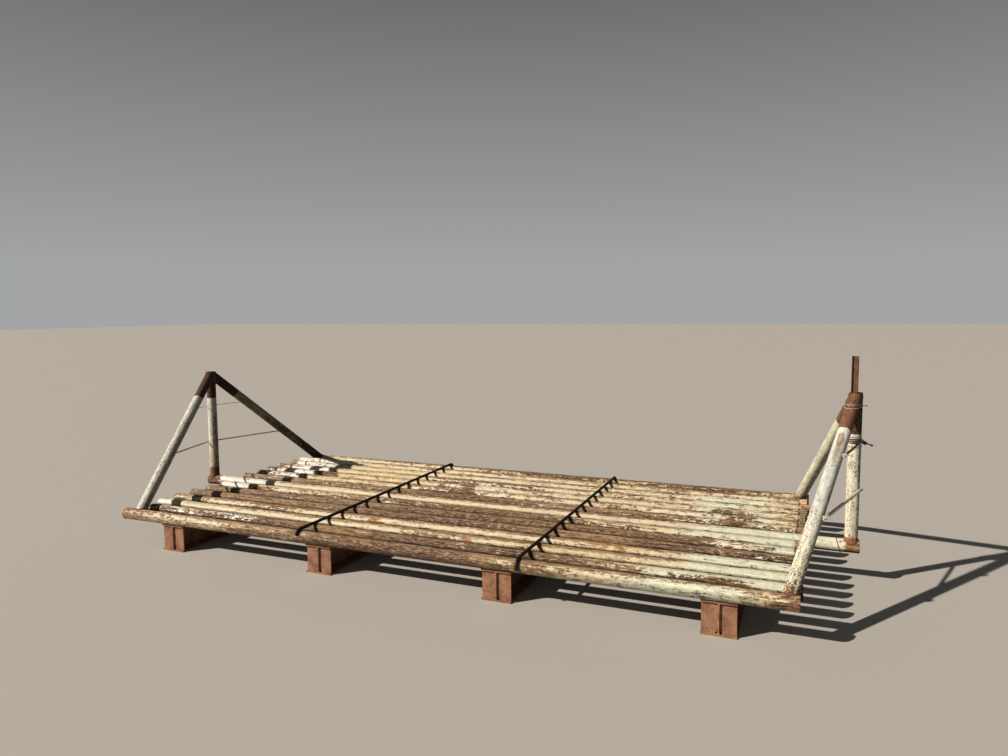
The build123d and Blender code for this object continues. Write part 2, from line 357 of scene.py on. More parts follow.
def growPiece(name, points, edges, tree, values, slot, standsFor=()):
    # runs a tree on a path and keeps the result as a plain closed mesh on the one body
    path = bpy.data.meshes.new(name + "_path")
    path.from_pydata(points, edges, [])
    holder = bpy.data.objects.new(name + "_path", path)
    view.collection.objects.link(holder)
    modifier = holder.modifiers.new("grow", "NODES")
    modifier.node_group = tree
    for socket in tree.interface.items_tree:
        if socket.in_out == "INPUT" and socket.name in values:
            modifier[socket.identifier] = values[socket.name]
    bpy.context.view_layer.update()
    grown = holder.evaluated_get(bpy.context.evaluated_depsgraph_get())
    mesh = bpy.data.meshes.new_from_object(grown)
    bpy.data.objects.remove(holder)
    shell = bmesh.new()
    shell.from_mesh(mesh)
    bmesh.ops.remove_doubles(shell, verts=shell.verts, dist=meshWork["mergeWithin"])
    bmesh.ops.recalc_face_normals(shell, faces=shell.faces)
    shell.to_mesh(mesh)
    shell.free()
    mesh.shade_smooth()
    mesh.set_sharp_from_angle(angle=math.radians(meshWork["sharpAbove"]))
    mesh.name = name
    piece = bpy.data.objects.new(name, mesh)
    view.collection.objects.link(piece)
    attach(piece, "root")
    if standsFor:
        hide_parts(*standsFor)
    return piece


# Noise scales of the sway, the dents and the torch-cut rim; the share of the sway that goes each way; where
# dents start and are full by their noise and by how far the wall faces up, and where they are full and end
# in metres from the middle; and the half widths of the groove at its floor and at its top
pipeWork = {"noiseScales": (0.7, 5.0, 45.0), "swayWays": (0.0, 1.0, 0.6), "dentNoise": (0.55, 0.74),
            "dentFacing": (0.1, 0.9), "dentReach": (2.1, 2.3), "grooveHalf": (0.004, 0.009)}


def deckPipeTree():
    # a pipe with a ring at each point of its path: swayed a little, dented on its crest by wheels, grooved at
    # its seam, with torch-cut rims and a real wall
    tree, given = openTree("deck_pipe", {
        "Float": ("Outer radius", "Wall", "Sway", "Dent depth", "Groove at", "Groove depth", "Rim roughness",
                  "Seed"),
        "Int": ("Around",), "Material": ("Finish",)})
    spot = addNode(tree, "GeometryNodeInputPosition")
    drift, knocks, bite = [
        addNode(tree, "ShaderNodeTexNoise",
                {"Vector": spot, "W": given["Seed"], "Scale": scale, "Detail": 1.0},
                noise_dimensions="4D").outputs for scale in pipeWork["noiseScales"]]
    line = addNode(tree, "GeometryNodeMeshToCurve", {0: given["Path"]})
    drift = addNode(tree, "ShaderNodeVectorMath", {0: drift["Color"], 1: (0.5, 0.5, 0.5)},
                    operation="SUBTRACT")
    drift = addNode(tree, "ShaderNodeVectorMath", {0: drift, 1: pipeWork["swayWays"]}, operation="MULTIPLY")
    drift = addNode(tree, "ShaderNodeVectorMath", {0: drift, "Scale": given["Sway"]}, operation="SCALE")
    line = addNode(tree, "GeometryNodeSetPosition", {0: line, "Offset": drift})
    ring = addNode(tree, "GeometryNodeCurvePrimitiveCircle",
                   {"Resolution": given["Around"], "Radius": given["Outer radius"]})
    tube = addNode(tree, "GeometryNodeCurveToMesh", {"Curve": line, "Profile Curve": ring})

    # places on the wall: how far it faces up, how far it lies from the middle and from the groove
    facing = addNode(tree, "GeometryNodeInputNormal")
    upward = addNode(tree, "ShaderNodeSeparateXYZ", {0: facing}).outputs["Z"]
    place = addNode(tree, "ShaderNodeSeparateXYZ", {0: spot}).outputs["X"]
    fromMiddle = addNode(tree, "ShaderNodeMath", {0: place}, operation="ABSOLUTE")
    toGroove = addNode(tree, "ShaderNodeMath", {0: place, 1: given["Groove at"]}, operation="SUBTRACT")
    toGroove = addNode(tree, "ShaderNodeMath", {0: toGroove}, operation="ABSOLUTE")
    shares = []
    for value, (low, high), start, end, kind in (
            (knocks["Fac"], pipeWork["dentNoise"], 0.0, 1.0, "SMOOTHSTEP"),
            (upward, pipeWork["dentFacing"], 0.0, 1.0, "LINEAR"),
            (fromMiddle, pipeWork["dentReach"], 1.0, 0.0, "LINEAR"),
            (toGroove, pipeWork["grooveHalf"], -1.0, 0.0, "LINEAR")):
        shares.append(addNode(tree, "ShaderNodeMapRange", {
            "Value": value, "From Min": low, "From Max": high, "To Min": start, "To Max": end},
            interpolation_type=kind))
    depth, raised, driven, sunk = shares
    for share in (raised, driven, given["Dent depth"]):
        depth = addNode(tree, "ShaderNodeMath", {0: depth, 1: share}, operation="MULTIPLY")
    inward = addNode(tree, "ShaderNodeVectorMath", {0: facing, 1: (-1.0, -1.0, -1.0)}, operation="MULTIPLY")
    sunk = addNode(tree, "ShaderNodeMath", {0: sunk, 1: given["Groove depth"]}, operation="MULTIPLY")
    for way, amount in ((inward, depth), (facing, sunk)):
        shift = addNode(tree, "ShaderNodeVectorMath", {0: way, "Scale": amount}, operation="SCALE")
        tube = addNode(tree, "GeometryNodeSetPosition", {0: tube, "Offset": shift})

    neighbours = addNode(tree, "GeometryNodeInputMeshEdgeNeighbors")
    rim = addNode(tree, "FunctionNodeCompare", {2: neighbours, 3: 1}, data_type="INT", operation="EQUAL")
    bite = addNode(tree, "ShaderNodeMath", {0: bite["Fac"], 1: 0.5}, operation="SUBTRACT")
    bite = addNode(tree, "ShaderNodeMath", {0: bite, 1: given["Rim roughness"]}, operation="MULTIPLY")
    bite = addNode(tree, "ShaderNodeCombineXYZ", {"X": bite})
    tube = addNode(tree, "GeometryNodeSetPosition", {0: tube, "Selection": rim, "Offset": bite})
    wall = addNode(tree, "ShaderNodeMath", {0: given["Wall"], 1: -1.0}, operation="MULTIPLY")
    bore = addNode(tree, "GeometryNodeExtrudeMesh", {0: tube, "Offset Scale": wall, "Individual": False})
    both = addNode(tree, "GeometryNodeJoinGeometry", {0: bore})
    feed(tree, both, {0: tube})
    return closeTree(tree, both, given["Finish"])


beadWork = {"noiseScale": 60.0, "rippleEvery": 2.0}   # every second ring of a bead is raised


def beadTree():
    # a rounded bead along any path: weld with its ripples, or wire with none
    tree, given = openTree("bead", {
        "Float": ("Radius", "Step", "Ripple", "Unevenness", "Seed"), "Int": ("Sides",),
        "Material": ("Finish",)})
    line = addNode(tree, "GeometryNodeMeshToCurve", {0: given["Path"]})
    line = addNode(tree, "GeometryNodeResampleCurve", {0: line, "Length": given["Step"]}, mode="LENGTH")
    count = addNode(tree, "GeometryNodeSplineParameter").outputs["Index"]
    ripple = addNode(tree, "ShaderNodeMath", {0: count, 1: beadWork["rippleEvery"]}, operation="MODULO")
    ripple = addNode(tree, "ShaderNodeMath", {0: ripple, 1: given["Ripple"], 2: 1.0},
                     operation="MULTIPLY_ADD")
    spot = addNode(tree, "GeometryNodeInputPosition")
    blob = addNode(tree, "ShaderNodeTexNoise", {
        "Vector": spot, "W": given["Seed"], "Detail": 1.0, "Scale": beadWork["noiseScale"]},
        noise_dimensions="4D")
    blob = addNode(tree, "ShaderNodeMath", {0: blob, 1: 0.5}, operation="SUBTRACT")
    scale = addNode(tree, "ShaderNodeMath", {0: blob, 1: given["Unevenness"], 2: ripple},
                    operation="MULTIPLY_ADD")
    ring = addNode(tree, "GeometryNodeCurvePrimitiveCircle",
                   {"Resolution": given["Sides"], "Radius": given["Radius"]})
    bead = addNode(tree, "GeometryNodeCurveToMesh",
                   {"Curve": line, "Profile Curve": ring, "Scale": scale, "Fill Caps": True})
    return closeTree(tree, bead, given["Finish"])


lumpWork = {"smallest": (0.7, 0.9, 0.45), "largest": (1.1, 1.5, 0.75), "rounding": 2}


def lumpTree():
    # a flattened blob of weld metal on every point
    tree, given = openTree("lump", {"Float": ("Radius",), "Int": ("Seed",), "Material": ("Finish",)})
    blob = addNode(tree, "GeometryNodeMeshIcoSphere",
                   {"Radius": given["Radius"], "Subdivisions": lumpWork["rounding"]})
    size = addNode(tree, "FunctionNodeRandomValue", {
        0: lumpWork["smallest"], 1: lumpWork["largest"], "Seed": given["Seed"]}, data_type="FLOAT_VECTOR")
    lumps = addNode(tree, "GeometryNodeInstanceOnPoints",
                    {"Points": given["Path"], "Instance": blob, "Scale": size})
    return closeTree(tree, lumps, given["Finish"])


trees = {"pipe": deckPipeTree(), "bead": beadTree(), "lump": lumpTree()}
print("trees:", ", ".join(trees))


def stopsIn(row):   # a row of stops as tuples; a stop without colours keeps those of the stop before it
    stops = []
    for words in (stop.split() for stop in row.split(",")):
        colours = words[-2:] if words[-1].isalpha() else stops[-1][-2:]
        stops.append((*[float(word) for word in words if not word.isalpha()], *colours))
    return stops


# Deck pipes from the near edge to the far edge. Each stop: metres along the pipe, paint left on the flank,
# paint left on the crest, its colour, the steel's colour
deckPaint = [
    ("-2.50 .55 .48 pink tan, -2.35 .60 .55, -2.15 .76 .62 cream tan, -1.70 .66 .45, -1.40 .42 .20, "
     "-0.85 .28 .08 cream grey, -0.30 .20 .05 cream umber, 0.30 .15 .05 cream purple, "
     "0.70 .35 .15 putty tan, 1.10 .62 .30, 1.35 .76 .42 cream tan, 1.60 .80 .50 mint tan, 2.10 .78 .48, "
     "2.30 .66 .48 cream clay, 2.38 .50 .40 cream rust, 2.47 .30 .26 pink rust"),
    ("-2.50 .30 .30 white purple, -2.35 .50 .55 white umber, -1.95 .55 .70, -1.70 .58 .68 white purple, "
     "-1.45 .35 .45, -1.25 .14 .12 cream purple, -0.60 .16 .14 cream tan, -0.40 .28 .24, "
     "-0.20 .12 .10 cream purple, 0.30 .12 .15, 0.36 .35 .50 white purple, 0.45 .10 .10 cream purple, "
     "0.70 .12 .10 cream dark, 0.95 .20 .25 cream purple, 1.50 .35 .50 cream tan, 1.65 .75 .85 mint tan, "
     "1.80 .45 .85 mint purple, 2.15 .40 .90 mint umber, 2.25 .80 .90 mint tan, 2.40 .85 .90 mint rust"),
    ("-2.50 .85 .70 white tan, -2.42 .90 .75, -2.30 .95 .80 cream tan, -0.80 .95 .50, -0.25 .97 .40, "
     "-0.15 .60 .30, 0.28 .60 .30, 0.33 .20 .30 butter orange, 0.40 .85 .40 cream tan, "
     "0.90 .75 .25 butter tan, 1.70 .80 .40 cream tan, 1.85 .95 .85 mint tan, 2.40 .95 .90 mint rust"),
    ("-2.52 .55 .45 cream tan, -2.30 .68 .50 cream grey, -1.90 .70 .35 cream tan, "
     "-1.50 .60 .20 cream umber, -0.90 .75 .20 cream tan, -0.62 .80 .30, -0.52 .30 .20 butter orange, "
     "-0.42 .80 .40 cream tan, 0.20 .85 .40, 0.85 .80 .30, 1.35 .60 .25 butter orange, "
     "1.70 .75 .30 cream tan, 1.85 .92 .75 mint tan, 2.40 .92 .85 mint rust"),
    ("-2.50 .48 .35 pink grey, -2.30 .32 .22, -1.60 .24 .15 ivory tan, -0.50 .10 .08 cream purple, "
     "-0.10 .25 .10 white purple, 0.35 .20 .08, 1.20 .12 .10 cream tan, 1.50 .10 .05 cream purple, "
     "2.00 .30 .08 white purple, 2.25 .40 .22 white dark, 2.36 .42 .30"),
    ("-2.50 .38 .26 pink grey, -1.75 .22 .15 ivory grey, -1.62 .42 .30 ivory purple, "
     "-1.48 .30 .20 white purple, -1.35 .08 .05 cream grey, -0.70 .12 .08, 0.00 .08 .05 cream purple, "
     "0.90 .08 .10 cream umber, 1.80 .12 .14, 1.92 .50 .55 ivory umber, 2.10 .45 .50, "
     "2.25 .55 .72 mint umber, 2.33 .85 .85"),
    ("-2.52 .05 .05 cream rust, -2.47 .60 .60 white rust, -2.40 .90 .85 white tan, -2.25 .85 .85, "
     "-2.10 .35 .70 cream rust, -1.85 .45 .70, -1.80 .85 .80 cream tan, -1.50 .70 .60, -1.10 .45 .50, "
     "-0.82 .35 .40 cream umber, -0.68 .50 .45 white umber, -0.40 .30 .30, -0.10 .08 .20 cream umber, "
     "0.60 .12 .30, 0.85 .40 .60, 1.60 .70 .70, 1.80 .80 .90 mint umber, 2.40 .88 .92 mint tan"),
    ("-2.80 .02 .02 cream rust, -2.70 .10 .10, -2.64 .95 .90 white rust, -2.54 .96 .90, "
     "-2.50 .97 .90 white tan, -2.20 .97 .90, -1.90 .95 .60 cream tan, -0.60 .95 .45, 0.00 .98 .40, "
     "0.90 .85 .35, 1.50 .85 .40 cream umber, 1.90 .97 .75 mint tan, 2.40 .97 .90, 2.50 .97 .92 mint rust, "
     "2.54 .96 .92, 2.66 .92 .90 bone rust, 2.70 .84 .84 bone clay, 2.735 .14 .12 cream orange, "
     "2.80 .05 .05 cream clay"),
    ("-2.50 .30 .30 cream grey, -2.20 .40 .60 white grey, -1.95 .38 .34 cream tan, -1.50 .40 .38, "
     "-0.90 .20 .16 cream grey, -0.30 .06 .05 cream umber, 0.15 .12 .10, 0.50 .32 .20 white grey, "
     "0.80 .20 .20 cream grey, 1.10 .30 .25 cream tan, 1.55 .30 .30 cream umber, 1.85 .40 .50 white umber, "
     "1.98 .15 .20 cream dark, 2.15 .50 .60 mint umber, 2.40 .60 .70"),
    ("-2.50 .20 .20 cream grey, -2.40 .60 .60 white grey, -2.00 .75 .60, -1.85 .80 .60 butter tan, "
     "-1.20 .75 .50, -0.85 .70 .40 cream umber, -0.60 .50 .35 ivory umber, -0.40 .35 .30, -0.27 .08 .10, "
     "-0.15 .50 .42, 0.12 .52 .42, 0.25 .70 .40 cream tan, 0.80 .68 .35, 1.10 .62 .46 cream umber, "
     "1.50 .74 .56 ivory umber, 1.80 .70 .54, 2.00 .52 .46 cream dark, 2.15 .60 .40 mint umber, "
     "2.30 .75 .25 cream orange, 2.40 .60 .20 cream rust"),
    ("-2.50 .30 .30 white grey, -2.25 .75 .70, -1.98 .75 .70 white dark, -1.88 .15 .15 white purple, "
     "-1.72 .15 .20 cream umber, -1.66 .85 .60 butter tan, -0.80 .80 .52, -0.62 .76 .45 cream tan, "
     "-0.57 .15 .15 cream grey, -0.52 .75 .60 ivory umber, -0.37 .70 .50, -0.29 .12 .10, -0.20 .88 .80, "
     "0.02 .80 .66, 0.30 .70 .36 cream tan, 1.20 .78 .54, 1.50 .78 .58, 1.63 .56 .48 cream umber, "
     "1.75 .84 .72 mint tan, 1.90 .40 .40 mint dark, 2.05 .80 .70 mint tan, 2.40 .70 .50 cream umber"),
    ("-2.50 .35 .35 white grey, -2.25 .70 .70, -1.95 .65 .65 white umber, -1.80 .86 .62 butter tan, "
     "-0.85 .80 .42, -0.62 .50 .35 ivory umber, -0.42 .50 .15, -0.25 .55 .08, 0.20 .58 .10, "
     "0.35 .60 .25 cream umber, 0.90 .72 .44 cream tan, 1.05 .58 .42 cream umber, 1.35 .72 .54, "
     "1.60 .78 .62, 1.80 .85 .70 mint tan, 1.95 .58 .54 mint dark, 2.15 .70 .50 cream umber, 2.40 .65 .50"),
    ("-2.45 .30 .30 white tan, -2.38 .90 .80 white grey, -2.10 .70 .65, -1.75 .86 .68 butter tan, "
     "-1.00 .86 .62, -0.80 .78 .66 ivory tan, -0.65 .78 .40 butter tan, -0.20 .78 .42 cream umber, "
     "0.60 .74 .38, 1.20 .76 .50 cream tan, 1.40 .68 .50 cream umber, 1.60 .86 .66 ivory tan, "
     "1.85 .74 .62 mint umber, 2.10 .50 .50 mint dark, 2.25 .75 .50 cream tan, 2.40 .70 .45 cream umber"),
    ("-2.50 .50 .50 white tan, -2.20 .65 .60 white grey, -1.90 .70 .60 white tan, -1.60 .80 .42 cream tan, "
     "0.00 .76 .28, 1.30 .70 .25 cream umber, 1.50 .70 .15, 1.85 .75 .20, 2.05 .60 .30, "
     "2.15 .80 .50 mint tan, 2.28 .50 .30 cream umber, 2.40 .70 .45"),
    ("-2.50 .70 .50 butter tan, -1.60 .80 .42 cream umber, -0.90 .68 .14, -0.30 .45 .05 cream dark, "
     "0.50 .36 .05, 1.00 .55 .08 cream umber, 1.60 .40 .05 cream dark, 2.10 .50 .20, "
     "2.40 .75 .45 cream umber"),
]
deckReach = (-2.85, 2.85)   # metres along a pipe between which the stops lie
deckShape = {"Wall": 0.0055, "Around": 40, "Sway": 0.005, "Dent depth": 0.004, "Rim roughness": 0.005}
ringSpacing, seedSpacing = 0.04, 7.3
# Past a dark seam near its right end, each pipe but the middle and the outermost ones is a rusty stub
seam = {"at": 2.418, "half": 0.006, "edge": 0.003, "depth": 0.0050, "end": 2.50,
        "rings": (-0.012, -0.008, -0.004, 0.004, 0.008, 0.012)}
# Each stub: paint left, its colour, the steel's colour
stubs = [(.1, "pink", "umber"), (.2, "pink", "clay"), (.1, "pink", "grey"), (.15, "pink", "umber"),
         (.1, "pink", "clay"), (.2, "pink", "grey"), None, (.3, "pink", "clay"), (.1, "pink", "umber"),
         (.35, "putty", "slate"), (.15, "putty", "grey"), (.25, "pink", "clay"), (.8, "pink", "clay")]
openFlank = {"lowLoss": 0.05, "lowShade": 0.70}   # less dirt and less painted shade under an edge pipe, with one neighbour


def pipePath(low, high, line, hasSeam):   # places of the rings along a pipe, closer together at its seam
    count = round((high - low) / ringSpacing)
    places = [low + (high - low) * k / count for k in range(count + 1)]
    if hasSeam:
        close = [seam["at"] + shift for shift in seam["rings"]]
        places = [x for x in places if abs(x - seam["at"]) > ringSpacing / 2] + close
    points = [(x, line.y, line.z) for x in sorted(places)]
    return points, [(k, k + 1) for k in range(len(points) - 1)]


def buildDeck():
    for row, (name, paint) in enumerate(zip(pipeNames, deckPaint)):
        stops = stopsIn(paint)
        low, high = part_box(name)
        centre, radius = middleOf(name)
        atEdge = row in (0, len(deckPaint) - 1)
        stub = None if atEdge else stubs[row - 1]
        if stub:
            share, tone, steel = stub
            near, far = seam["at"] - seam["half"], seam["at"] + seam["half"]
            stops += [(near - seam["edge"], *stops[-1][1:]), (near, 0.0, 0.0, tone, "soot"),
                      (far, 0.0, 0.0, tone, "soot"), (far + seam["edge"], share, share, tone, steel),
                      (seam["end"], share, share, tone, steel)]
        wear = dict(deckWear, **openFlank) if atEdge else deckWear
        axis = patternFrame((0, centre.y, centre.z), (1, 0, 0))
        material = wornEnamel(f"wornEnamel_{name}", axis, deckReach, radius, stops, row + 1, wear)
        points, edges = pipePath(low.x, high.x, centre, bool(stub))
        values = dict(deckShape, **{"Outer radius": radius, "Seed": row * seedSpacing, "Finish": material,
                                    "Groove at": seam["at"], "Groove depth": seam["depth"] if stub else 0.0})
        growPiece(f"deck_{name}", points, edges, trees["pipe"], values, "deck_pipe_paint", [name])


buildDeck()
print("deck:", len(deckPaint), "pipes")

# Wings. Each stop: metres from the foot, paint left, its colour, the steel's colour
wingShape = {"footReach": 2.400, "jointDrop": 0.022, "legReach": 1.60, "firstSeed": 40, "seedStep": 5}
postLow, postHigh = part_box("right_post")
wingRadius = (postHigh.x - postLow.x) / 2
postReach = middleOf("right_post")[0].x
postTop = postHigh.z
lastCentre, pipeRadius = middleOf(pipeNames[-1])
deckEdge, pipeLevel = lastCentre.y, lastCentre.z
wingPaint = {
    "right_front_leg":
        "0.02 .36 cream rust, 0.07 .56 ivory umber, 0.14 .70 bone umber, 0.30 .80, 0.60 .82 chalk grey, "
        "0.90 .85, 1.05 .80 chalk umber, 1.22 .90 white umber, 1.266 1.0 white head, 1.272 0.0 chalk head, "
        "1.60 0.0",
    "right_post":
        "0.04 .05 pink clay, 0.055 .15 pink orange, 0.07 .80 bone umber, 0.25 .84, 0.45 .80 bone dark, "
        "0.62 .74, 0.70 .80 bone umber, 0.757 .82 chalk rust, 0.763 0.0 chalk maroon, 1.05 0.0",
    "right_back_leg":
        "0.02 .30 pink rust, 0.15 .76 bone umber, 0.40 .92, 1.276 .95, 1.282 0.0 putty head, 1.60 0.0",
    "left_front_leg":
        "0.02 .85 chalk umber, 0.20 .90 chalk grey, 0.80 .82, 1.266 .95, 1.272 0.0 chalk maroon, 1.60 0.0",
    "left_post":
        "0.05 .05 pink rust, 0.116 .10, 0.130 .78 cream umber, 0.45 .80 chalk umber, "
        "0.783 .90 white umber, 0.789 0.0 chalk maroon, 1.05 0.0",
    "left_back_leg":
        "0.02 .34 putty dark, 0.30 .48, 0.80 .62 putty umber, 1.276 .82, 1.282 0.0 putty maroon, 1.60 0.0",
}
keyLightSide = (-0.59, -0.55, 0.59)   # the key light's side: the wings' side facing away from it gets painted shade and loses a little paint
# The stain near the head of the right front leg, and the rim and the middle of the oval rubbed above it:
# centre along the leg and off its axis, half sizes, colour, strength, where it starts to fade and ends in
# half sizes
rubbedSpots = {"right_front_leg": [
    ((1.080, -0.023, 0.035), (0.105, 0.024, 0.026), "#93806a", 0.72, 0.80, 1.55),
    ((1.168, -0.022, 0.035), (0.058, 0.020, 0.024), "#80594a", 0.66, 1.24, 1.60),
    ((1.170, -0.022, 0.035), (0.058, 0.020, 0.024), "#b3a08f", 0.78, 0.70, 1.06)]}


def legLine(side, end):   # foot and crown of a leg's centre line
    foot = Vector((side * wingShape["footReach"], end * deckEdge, pipeLevel))
    return foot, Vector((side * postReach, 0, postTop - wingShape["jointDrop"]))


def postLine(side):   # the post's foot on the middle pipe, and a place above it
    foot = Vector((side * postReach, 0, pipeLevel))
    return foot, foot + Vector((0, 0, 1))


def paintWings():
    for row, (name, paint) in enumerate(wingPaint.items()):
        side = 1 if name.startswith("right") else -1
        foot, crown = postLine(side) if name.endswith("post") else legLine(side, -1 if "front" in name else 1)
        axis = patternFrame(foot, crown - foot, keyLightSide)
        stops = [(at, share, share, tone, steel) for at, share, tone, steel in stopsIn(paint)]
        seed = wingShape["firstSeed"] + row * wingShape["seedStep"]
        dress(name, wornEnamel(f"wornEnamel_{name}", axis, (0.0, wingShape["legReach"]), wingRadius, stops,
                               seed, wingWear, rubbedSpots.get(name, ())))


paintWings()
print("wings: paint on", len(wingPaint), "pipes")

# Bare steel: base, dark and dust colour, cloud and grain size in mm, roughness, bump in mm, seed. The notes
# name the real one and what it gives the eye
steelLooks = {
    "rustedBeam": ("#9a735a", "#6c4e3f", "#bd9a7c", 70, 6, 0.85, 0.8, 3),   # rolled beams: dull brown
    "trampledBar": ("#211819", "#120d0e", "#3a2e29", 40, 4, 0.62, 0.5, 5),   # rolled bars: near black, rubbed
    "zincRod": ("#ddd6c9", "#a09687", "#e6dfd2", 30, 3, 0.5, 0.3, 7),   # galvanised rod: pale, part bright
    "rustedRod": ("#d8c5a6", "#9c8467", "#e4d5bb", 30, 3, 0.75, 0.4, 9),   # drawn rod: limed cream
    "soiledRod": ("#8d8475", "#4b443a", "#b8ad9b", 30, 3, 0.7, 0.4, 21),   # drawn rod and wire: dirty grey
    "rustedAngle": ("#6c4c37", "#452f22", "#876a50", 45, 4, 0.8, 0.4, 11),   # rolled angle: dark, rough
    "weldMetal": ("#7a4b37", "#4a2f27", "#a27c62", 12, 3, 0.7, 0.3, 13),   # beads of weld: red-brown
    "baleWire": ("#ded6c8", "#a79a89", "#e8e0d3", 20, 2, 0.5, 0.1, 15),   # galvanised wire: light, smooth
    "blackWire": ("#2a2526", "#171415", "#4b423d", 20, 2, 0.6, 0.1, 17),   # annealed wire: black, matt
    "limedWeld": ("#d6cfc6", "#a69a8e", "#e4dfd6", 8, 2, 0.75, 0.2, 19),   # uncleaned weld: chalky
}
steels = {name: rustedSteel(name, *look) for name, look in steelLooks.items()}
finishes = dict(dict.fromkeys(beamNames, "rustedBeam"), **dict.fromkeys(barNames, "trampledBar"),
                left_lower_tie="rustedRod", left_upper_tie="baleWire", right_lower_rung="zincRod",
                right_upper_rung="soiledRod", right_angle_iron="rustedAngle")
for name, steel in finishes.items():
    dress(name, steels[steel])
print("steel: beams, bars, rods and angle iron")

# Welds
weldShape = {"foot": 0.0048, "head": 0.0042, "seat": 0.004, "step": 0.005, "gap": 0.0003, "around": 64,
             "seatOffset": 0.0175, "seatRise": 0.0015, "seatMargin": 0.006, "tack": 0.007, "tackRise": 0.001}


def turnsAbout(ahead, turns):   # directions square to a line, one for each turn in radians
    side = ahead.orthogonal().normalized()
    other = ahead.cross(side)
    return [side * math.cos(turn) + other * math.sin(turn) for turn in turns]


def wholeTurn(count):
    return [2 * math.pi * k / count for k in range(count)]


def closed(points):   # a closed path through points
    return points, [(k, (k + 1) % len(points)) for k in range(len(points))]


def crossing(edge, ahead, reach, across):
    # a line meeting a pipe, as a quadratic: a, b and what is under the root; across: the axes across the pipe
    a, b, c = [sum(u[i] * v[i] for i in across) for u, v in ((ahead, ahead), (edge, ahead), (edge, edge))]
    return a, b, b * b - a * (c - reach ** 2)


def footWeld(foot, crown):   # closed curve where a leg or post lands on the pipe under it
    ahead = (crown - foot).normalized()
    reach = pipeRadius + weldShape["gap"]
    points = []
    for way in turnsAbout(ahead, wholeTurn(weldShape["around"])):
        edge = way * wingRadius
        a, b, root = crossing(edge, ahead, reach, (1, 2))
        points.append(foot + edge + ahead * ((-b + math.sqrt(max(root, 0.0))) / a))
    return closed(points)


def headWeld(foot, crown):   # where a leg meets the post, and the other leg in the middle plane
    ahead = (foot - crown).normalized()
    reach = wingRadius + weldShape["gap"]
    points, kept = [], []
    for way in turnsAbout(ahead, wholeTurn(weldShape["around"])):
        edge = way * wingRadius
        a, b, root = crossing(edge, ahead, reach, (0, 1))
        fromPost = (-b + math.sqrt(root)) / a if root > 0 else -1.0
        fromPlane = -edge.y / ahead.y
        fromTop = (postTop - crown.z - edge.z) / ahead.z
        if fromTop < max(fromPost, fromPlane):
            kept.append(len(points))
        points.append(crown + edge + ahead * max(fromPost, fromPlane, fromTop))
    return points, [(a, b) for a, b in closed(points)[1] if a in kept and b in kept]


def joined(parts):   # several paths as one list of points and edges
    points, edges = [], []
    for morePoints, moreEdges in parts:
        edges += [(a + len(points), b + len(points)) for a, b in moreEdges]
        points += morePoints
    return points, edges


def buildWelds():
    feet, heads, seats, tacks = [], [], [], []
    for side in (-1, 1):
        for end in (-1, 1):
            feet.append(footWeld(*legLine(side, end)))
            heads.append(headWeld(*legLine(side, end)))
        feet.append(footWeld(*postLine(side)))
    lineOf = [middleOf(name)[0].y for name in pipeNames]
    for beam in beamNames:
        low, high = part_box(beam)
        height = high.z + weldShape["seatRise"]
        run = Vector((high.x - low.x - 2 * weldShape["seatMargin"], 0, 0))
        for y in lineOf:
            for shift in (-weldShape["seatOffset"], weldShape["seatOffset"]):
                if low.y < y + shift < high.y:
                    start = Vector((low.x + weldShape["seatMargin"], y + shift, height))
                    seats.append(([start, start + run], [(0, 1)]))
    for bar in barNames:
        low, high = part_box(bar)
        for y in lineOf:
            for x in (low.x, high.x):
                tacks.append(Vector((x, y, pipeLevel + pipeRadius + weldShape["tackRise"])))
    beads = {"Step": weldShape["step"], "Ripple": 0.22, "Unevenness": 0.9, "Sides": 8, "Seed": 3.0,
             "Finish": steels["weldMetal"]}
    for kind, parts, slot in (("foot", feet, "wing_pipe_paint"), ("head", heads, "wing_pipe_paint"),
                              ("seat", seats, "beam_rust")):
        growPiece(f"{kind}_welds", *joined(parts), trees["bead"], dict(beads, Radius=weldShape[kind]), slot)
    growPiece("bar_tacks", tacks, [], trees["lump"],
              {"Radius": weldShape["tack"], "Seed": 4, "Finish": steels["trampledBar"]}, "dark_bar")


buildWelds()
print("welds: feet, heads, beam seats and bar tacks")

# Wire: turns of old fence wire pulled tight on the right wing, and a loose ring on the middle pipe.
# Each turn: height and tilt; each twist: heading and length; the coil: length, radius, pitch
wireShape = {"radius": 0.0016, "knotRadius": 0.0026, "step": 0.002, "sides": 6, "around": 72, "rest": 0.0009,
             "headTurns": ((1.192, 0.03), (1.203, -0.05)), "headTwist": ((1, -0.15, 0.10), 0.045),
             "knotTurns": ((0.951, 0.10), (0.957, -0.06), (0.962, 0.05), (0.968, -0.16)),
             "oldTurns": ((0.930, 0.22), (0.944, -0.20), (0.974, 0.16), (0.984, -0.10)),
             "knotCoil": (0.030, 0.010, 0.0065), "knotTwist": ((1, -0.30, -0.35), 0.070), "pointsPerTurn": 12,
             "strandRoom": 1.05, "twistPitch": 0.014, "twistSplay": 0.005, "splayFrom": 0.8,
             "ringAt": 2.662, "ringLean": 0.028, "ringSlack": 0.004}


def tightTurn(lines, height, tilt):   # a turn of wire round pipes, in a plane that is tilted a little along Y
    outline = []
    reach = wingRadius + wireShape["radius"] + wireShape["rest"]
    for foot, crown in lines:
        ahead = (crown - foot).normalized()
        for way in turnsAbout(ahead, wholeTurn(wireShape["around"])):
            spot = foot + way * reach
            outline.append(spot + ahead * ((height - spot.z + tilt * spot.y) / (ahead.z - tilt * ahead.y)))
    return closed([outline[k] for k in convex_hull_2d([spot.to_2d() for spot in outline])])


